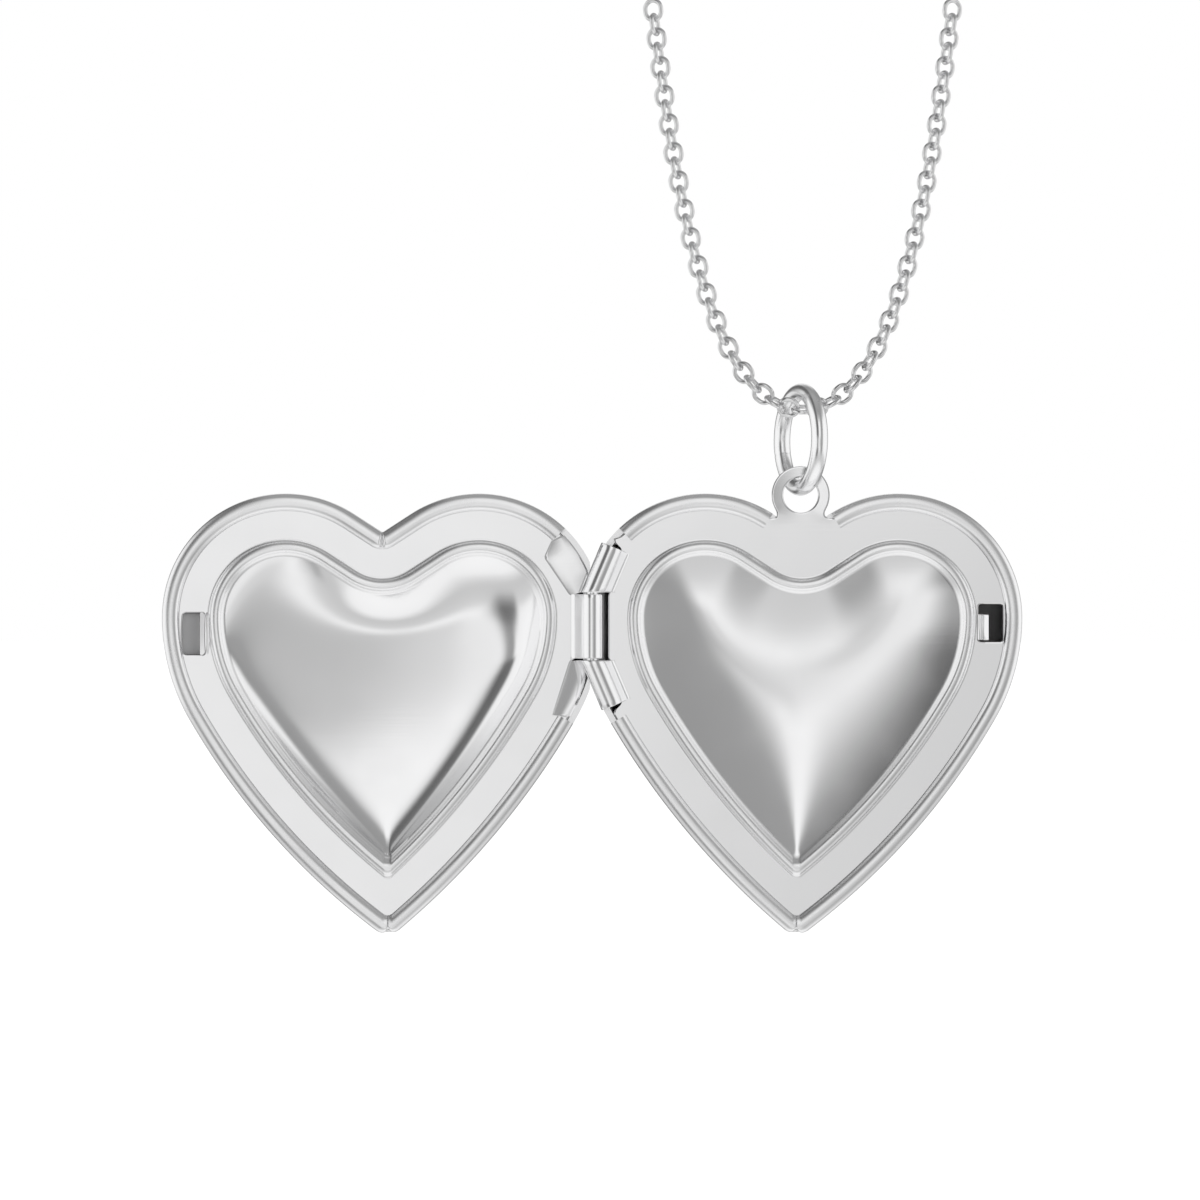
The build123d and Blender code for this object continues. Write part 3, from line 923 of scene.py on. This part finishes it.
def chain(material):
    """Oval links turned by turns, in one piece for each chain node."""
    run = chain_run()
    middle_place = [node for node, _ in run].index("link_middle")
    surfaces = {}
    for place, (node, centre) in enumerate(run):
        ahead = run[min(place + 1, len(run) - 1)][1] - run[max(place - 1, 0)][1]
        ahead /= np.linalg.norm(ahead)
        number = place - middle_place
        twist = math.radians(LINK_TWIST + 90 * ((number + 1) % 2))
        through = np.array([0, 1.0, 0])
        normal = through * math.cos(twist) + np.cross(ahead, through) * math.sin(twist)
        lateral = np.cross(normal, ahead)
        surface = surfaces.setdefault(node, Surface())
        half = LINK_STRAIGHT / 2
        bend = np.radians(np.linspace(-90, 90, 18))
        right = np.stack([half + LINK_BEND * np.cos(bend), LINK_BEND * np.sin(bend)], axis=1)
        path = np.concatenate([right, -right])
        middles = centre + path[:, :1] * ahead + path[:, 1:] * lateral
        toward = np.concatenate([right - (half, 0), -(right - (half, 0))]) / LINK_BEND
        outward = toward[:, :1] * ahead + toward[:, 1:] * lateral
        tube(surface, middles, outward, np.full(len(middles), LINK_WIRE))
    for node, surface in surfaces.items():
        surface.finish(node + "_wire", node, [node], "wire", [material], sharp=80)


# Materials

def node_tree(name):
    """A new material with its nodes and links."""
    material = bpy.data.materials.new(name)
    material.use_nodes = True
    return material, material.node_tree.nodes, material.node_tree.links


def silver(name, colour, rough_low, rough_high, wave, scratch):
    """Polished silver: a little uneven, with fine polishing lines and a few worn patches."""
    material, nodes, links = node_tree(name)
    shader = nodes["Principled BSDF"]
    shader.inputs["Base Color"].default_value = (*colour, 1)
    shader.inputs["Metallic"].default_value = 1.0
    place = nodes.new("ShaderNodeTexCoord")

    patches = nodes.new("ShaderNodeTexNoise")
    patches.inputs["Scale"].default_value = 420
    patches.inputs["Detail"].default_value = 5
    links.new(place.outputs["Object"], patches.inputs["Vector"])
    rough = nodes.new("ShaderNodeMapRange")
    rough.inputs["From Min"].default_value = 0.35
    rough.inputs["From Max"].default_value = 0.75
    rough.inputs["To Min"].default_value = rough_low
    rough.inputs["To Max"].default_value = rough_high
    links.new(patches.outputs["Fac"], rough.inputs["Value"])
    links.new(rough.outputs["Result"], shader.inputs["Roughness"])

    stretch = nodes.new("ShaderNodeMapping")
    stretch.inputs["Scale"].default_value = (260, 260, 9000)
    stretch.inputs["Rotation"].default_value = (0, 0.6, 0)
    links.new(place.outputs["Object"], stretch.inputs["Vector"])
    lines = nodes.new("ShaderNodeTexNoise")
    lines.inputs["Scale"].default_value = 1
    lines.inputs["Detail"].default_value = 3
    links.new(stretch.outputs["Vector"], lines.inputs["Vector"])
    fine = nodes.new("ShaderNodeBump")
    fine.inputs["Strength"].default_value = scratch
    fine.inputs["Distance"].default_value = 0.00001
    links.new(lines.outputs["Fac"], fine.inputs["Height"])

    slow = nodes.new("ShaderNodeTexNoise")
    slow.inputs["Scale"].default_value = 230
    slow.inputs["Detail"].default_value = 1
    links.new(place.outputs["Object"], slow.inputs["Vector"])
    waves = nodes.new("ShaderNodeBump")
    waves.inputs["Strength"].default_value = 1.0
    waves.inputs["Distance"].default_value = wave
    links.new(slow.outputs["Fac"], waves.inputs["Height"])
    links.new(fine.outputs["Normal"], waves.inputs["Normal"])
    links.new(waves.outputs["Normal"], shader.inputs["Normal"])
    return material


def floor_material():
    """Pale matt floor, bright enough to fade into the white behind."""
    material, nodes, links = node_tree("pale_floor")
    shader = nodes["Principled BSDF"]
    shader.inputs["Base Color"].default_value = (0.9, 0.9, 0.9, 1)
    shader.inputs["Roughness"].default_value = 0.7
    shader.inputs["Specular IOR Level"].default_value = 0.0
    shader.inputs["Emission Color"].default_value = (1, 1, 1, 1)
    shader.inputs["Emission Strength"].default_value = 0.75
    return material


# Stage

# brightness of the studio by the direction looked in: (part of the direction along an axis, brightness)
ACROSS_LOW = [
    (-1.0, 0.97), (-0.66, 0.92), (-0.54, 0.32), (-0.38, 0.36), (-0.24, 0.9), (-0.13, 0.86), (-0.005, 0.84),
    (0.025, 0.66), (0.1, 0.7), (0.14, 0.56), (0.24, 0.44), (0.32, 0.34), (0.6, 0.34), (0.72, 0.9),
    (1.0, 0.97),
]
ACROSS_HIGH = [
    (-1.0, 0.97), (-0.74, 0.9), (-0.62, 0.16), (-0.36, 0.12), (-0.27, 0.34), (-0.18, 0.76), (-0.09, 0.95),
    (-0.03, 0.97), (0.13, 0.97), (0.22, 0.66), (0.31, 0.34), (0.6, 0.3), (0.72, 0.9), (1.0, 0.97),
]
UPRIGHT = [
    (-1.0, 0.97), (-0.8, 0.92), (-0.66, 0.58), (-0.46, 0.66), (-0.36, 0.97), (0.5, 0.97), (0.64, 0.5),
    (0.8, 0.3), (1.0, 0.36),
]


def light_room():
    """A white studio as the sky: a broad white front, and gray flats to the right, left and overhead."""
    world = bpy.data.worlds.new("studio")
    bpy.context.scene.world = world
    world.use_nodes = True
    nodes, links = world.node_tree.nodes, world.node_tree.links
    nodes.clear()
    place = nodes.new("ShaderNodeTexCoord")
    split = nodes.new("ShaderNodeSeparateXYZ")
    links.new(place.outputs["Generated"], split.inputs[0])
    x, y, z = split.outputs[0], split.outputs[1], split.outputs[2]

    def spread(value, stops):
        """A brightness that follows stops over a direction from -1 to 1."""
        scaled = nodes.new("ShaderNodeMapRange")
        scaled.inputs["From Min"].default_value = -1
        links.new(value, scaled.inputs["Value"])
        node = nodes.new("ShaderNodeValToRGB")
        node.color_ramp.interpolation = "LINEAR"
        elements = node.color_ramp.elements
        while len(elements) < len(stops):
            elements.new(0.5)
        for element, (where, bright) in zip(elements, stops):
            element.position = (where + 1) / 2
            element.color = (bright, bright, bright, 1)
        links.new(scaled.outputs["Result"], node.inputs["Fac"])
        return node.outputs["Color"]

    def step(value, low, high, start=0.0, end=1.0):
        """A smooth change from start to end as a value goes from low to high."""
        node = nodes.new("ShaderNodeMapRange")
        node.interpolation_type = "SMOOTHSTEP"
        node.inputs["From Min"].default_value = low
        node.inputs["From Max"].default_value = high
        node.inputs["To Min"].default_value = start
        node.inputs["To Max"].default_value = end
        links.new(value, node.inputs["Value"])
        return node.outputs["Result"]

    def maths(operation, a, b):
        node = nodes.new("ShaderNodeMath")
        node.operation = operation
        links.new(a, node.inputs[0])
        links.new(b, node.inputs[1])
        return node.outputs[0]

    def mix(share, a, b):
        """From a to b by a share; b may be a plain number."""
        node = nodes.new("ShaderNodeMix")
        node.data_type = "FLOAT"
        links.new(share, node.inputs["Factor"])
        links.new(a, node.inputs["A"])
        if isinstance(b, float):
            node.inputs["B"].default_value = b
        else:
            links.new(b, node.inputs["B"])
        return node.outputs["Result"]

    card = maths("MULTIPLY", step(z, -0.36, -0.22), step(z, 0.0, 0.1, 1.0, 0.0))
    across = mix(card, spread(x, ACROSS_HIGH), spread(x, ACROSS_LOW))
    across = mix(step(z, -0.75, -0.38, 1.0, 0.0), across, 0.97)
    room = maths("MINIMUM", across, spread(z, UPRIGHT))
    behind = step(y, 0.0, 0.8, 1.0, 0.88)
    total = maths("MULTIPLY", room, behind)
    seen = mix(nodes.new("ShaderNodeLightPath").outputs["Is Camera Ray"], total, 1.0)
    shine = nodes.new("ShaderNodeBackground")
    shine.inputs["Color"].default_value = (1, 1, 1, 1)
    links.new(seen, shine.inputs["Strength"])
    out = nodes.new("ShaderNodeOutputWorld")
    links.new(shine.outputs[0], out.inputs["Surface"])


def floor():
    """A plain pale floor under the locket."""
    mesh = bpy.data.meshes.new("studio_floor")
    reach = 60 * (cad_high.x - cad_low.x)
    level = cad_low.z - 0.32 * (cad_high.z - cad_low.z)
    corners = [(-reach, -reach, level), (reach, -reach, level), (reach, reach, level), (-reach, reach, level)]
    mesh.from_pydata(corners, [], [(0, 1, 2, 3)])
    mesh.materials.append(floor_material())
    piece = bpy.data.objects.new("studio_floor", mesh)
    bpy.context.scene.collection.objects.link(piece)
    piece.visible_glossy = False


def camera():
    """A long lens square on to the open locket."""
    data = bpy.data.cameras.new("camera")
    data.lens = LENS
    data.sensor_width = SENSOR
    distance = PICTURE_WIDTH * MM * LENS / SENSOR
    data.clip_start = distance / 100
    data.clip_end = distance * 200
    piece = bpy.data.objects.new("camera", data)
    middle = (cad_low.x + cad_high.x) / 2 + PICTURE_OUT * MM
    piece.location = (middle, -distance, PICTURE_HEIGHT * MM)
    piece.rotation_euler = (math.radians(90), 0, 0)
    bpy.context.scene.collection.objects.link(piece)
    bpy.context.scene.camera = piece


polished = silver("polished_silver", (0.95, 0.95, 0.955), 0.13, 0.19, 0.000004, 0.06)
rounded = silver("rounded_silver", (0.95, 0.95, 0.955), 0.24, 0.3, 0.000003, 0.06)
wire = silver("silver_wire", (0.82, 0.82, 0.825), 0.06, 0.12, 0.000002, 0.08)
thick_wire = silver("silver_thick_wire", (0.97, 0.97, 0.975), 0.17, 0.23, 0.000002, 0.05)
# rough, dull silver for inner faces; its lower colour is painted shade where those faces lie in the dark
# inside of the locket
unpolished_painted_shade = silver("unpolished_silver_painted_shade", (0.62, 0.62, 0.625), 0.4, 0.6, 0.000006, 0.3)
sheet = [polished, rounded, unpolished_painted_shade]

shell(BACK, "back_shell", "back_half", sheet)
shell(FRONT, "front_shell", "front_half", sheet)
plate(BACK, "back_plate", "back_half", sheet)
plate(FRONT, "front_plate", "front_half", sheet)
pin = frame["nodes"]["hinge_pin"]
pin.data.materials.clear()
pin.data.materials.append(wire)
jump_ring(thick_wire)
chain(wire)

light_room()
floor()
camera()
bpy.context.scene.view_settings.view_transform = "Standard"
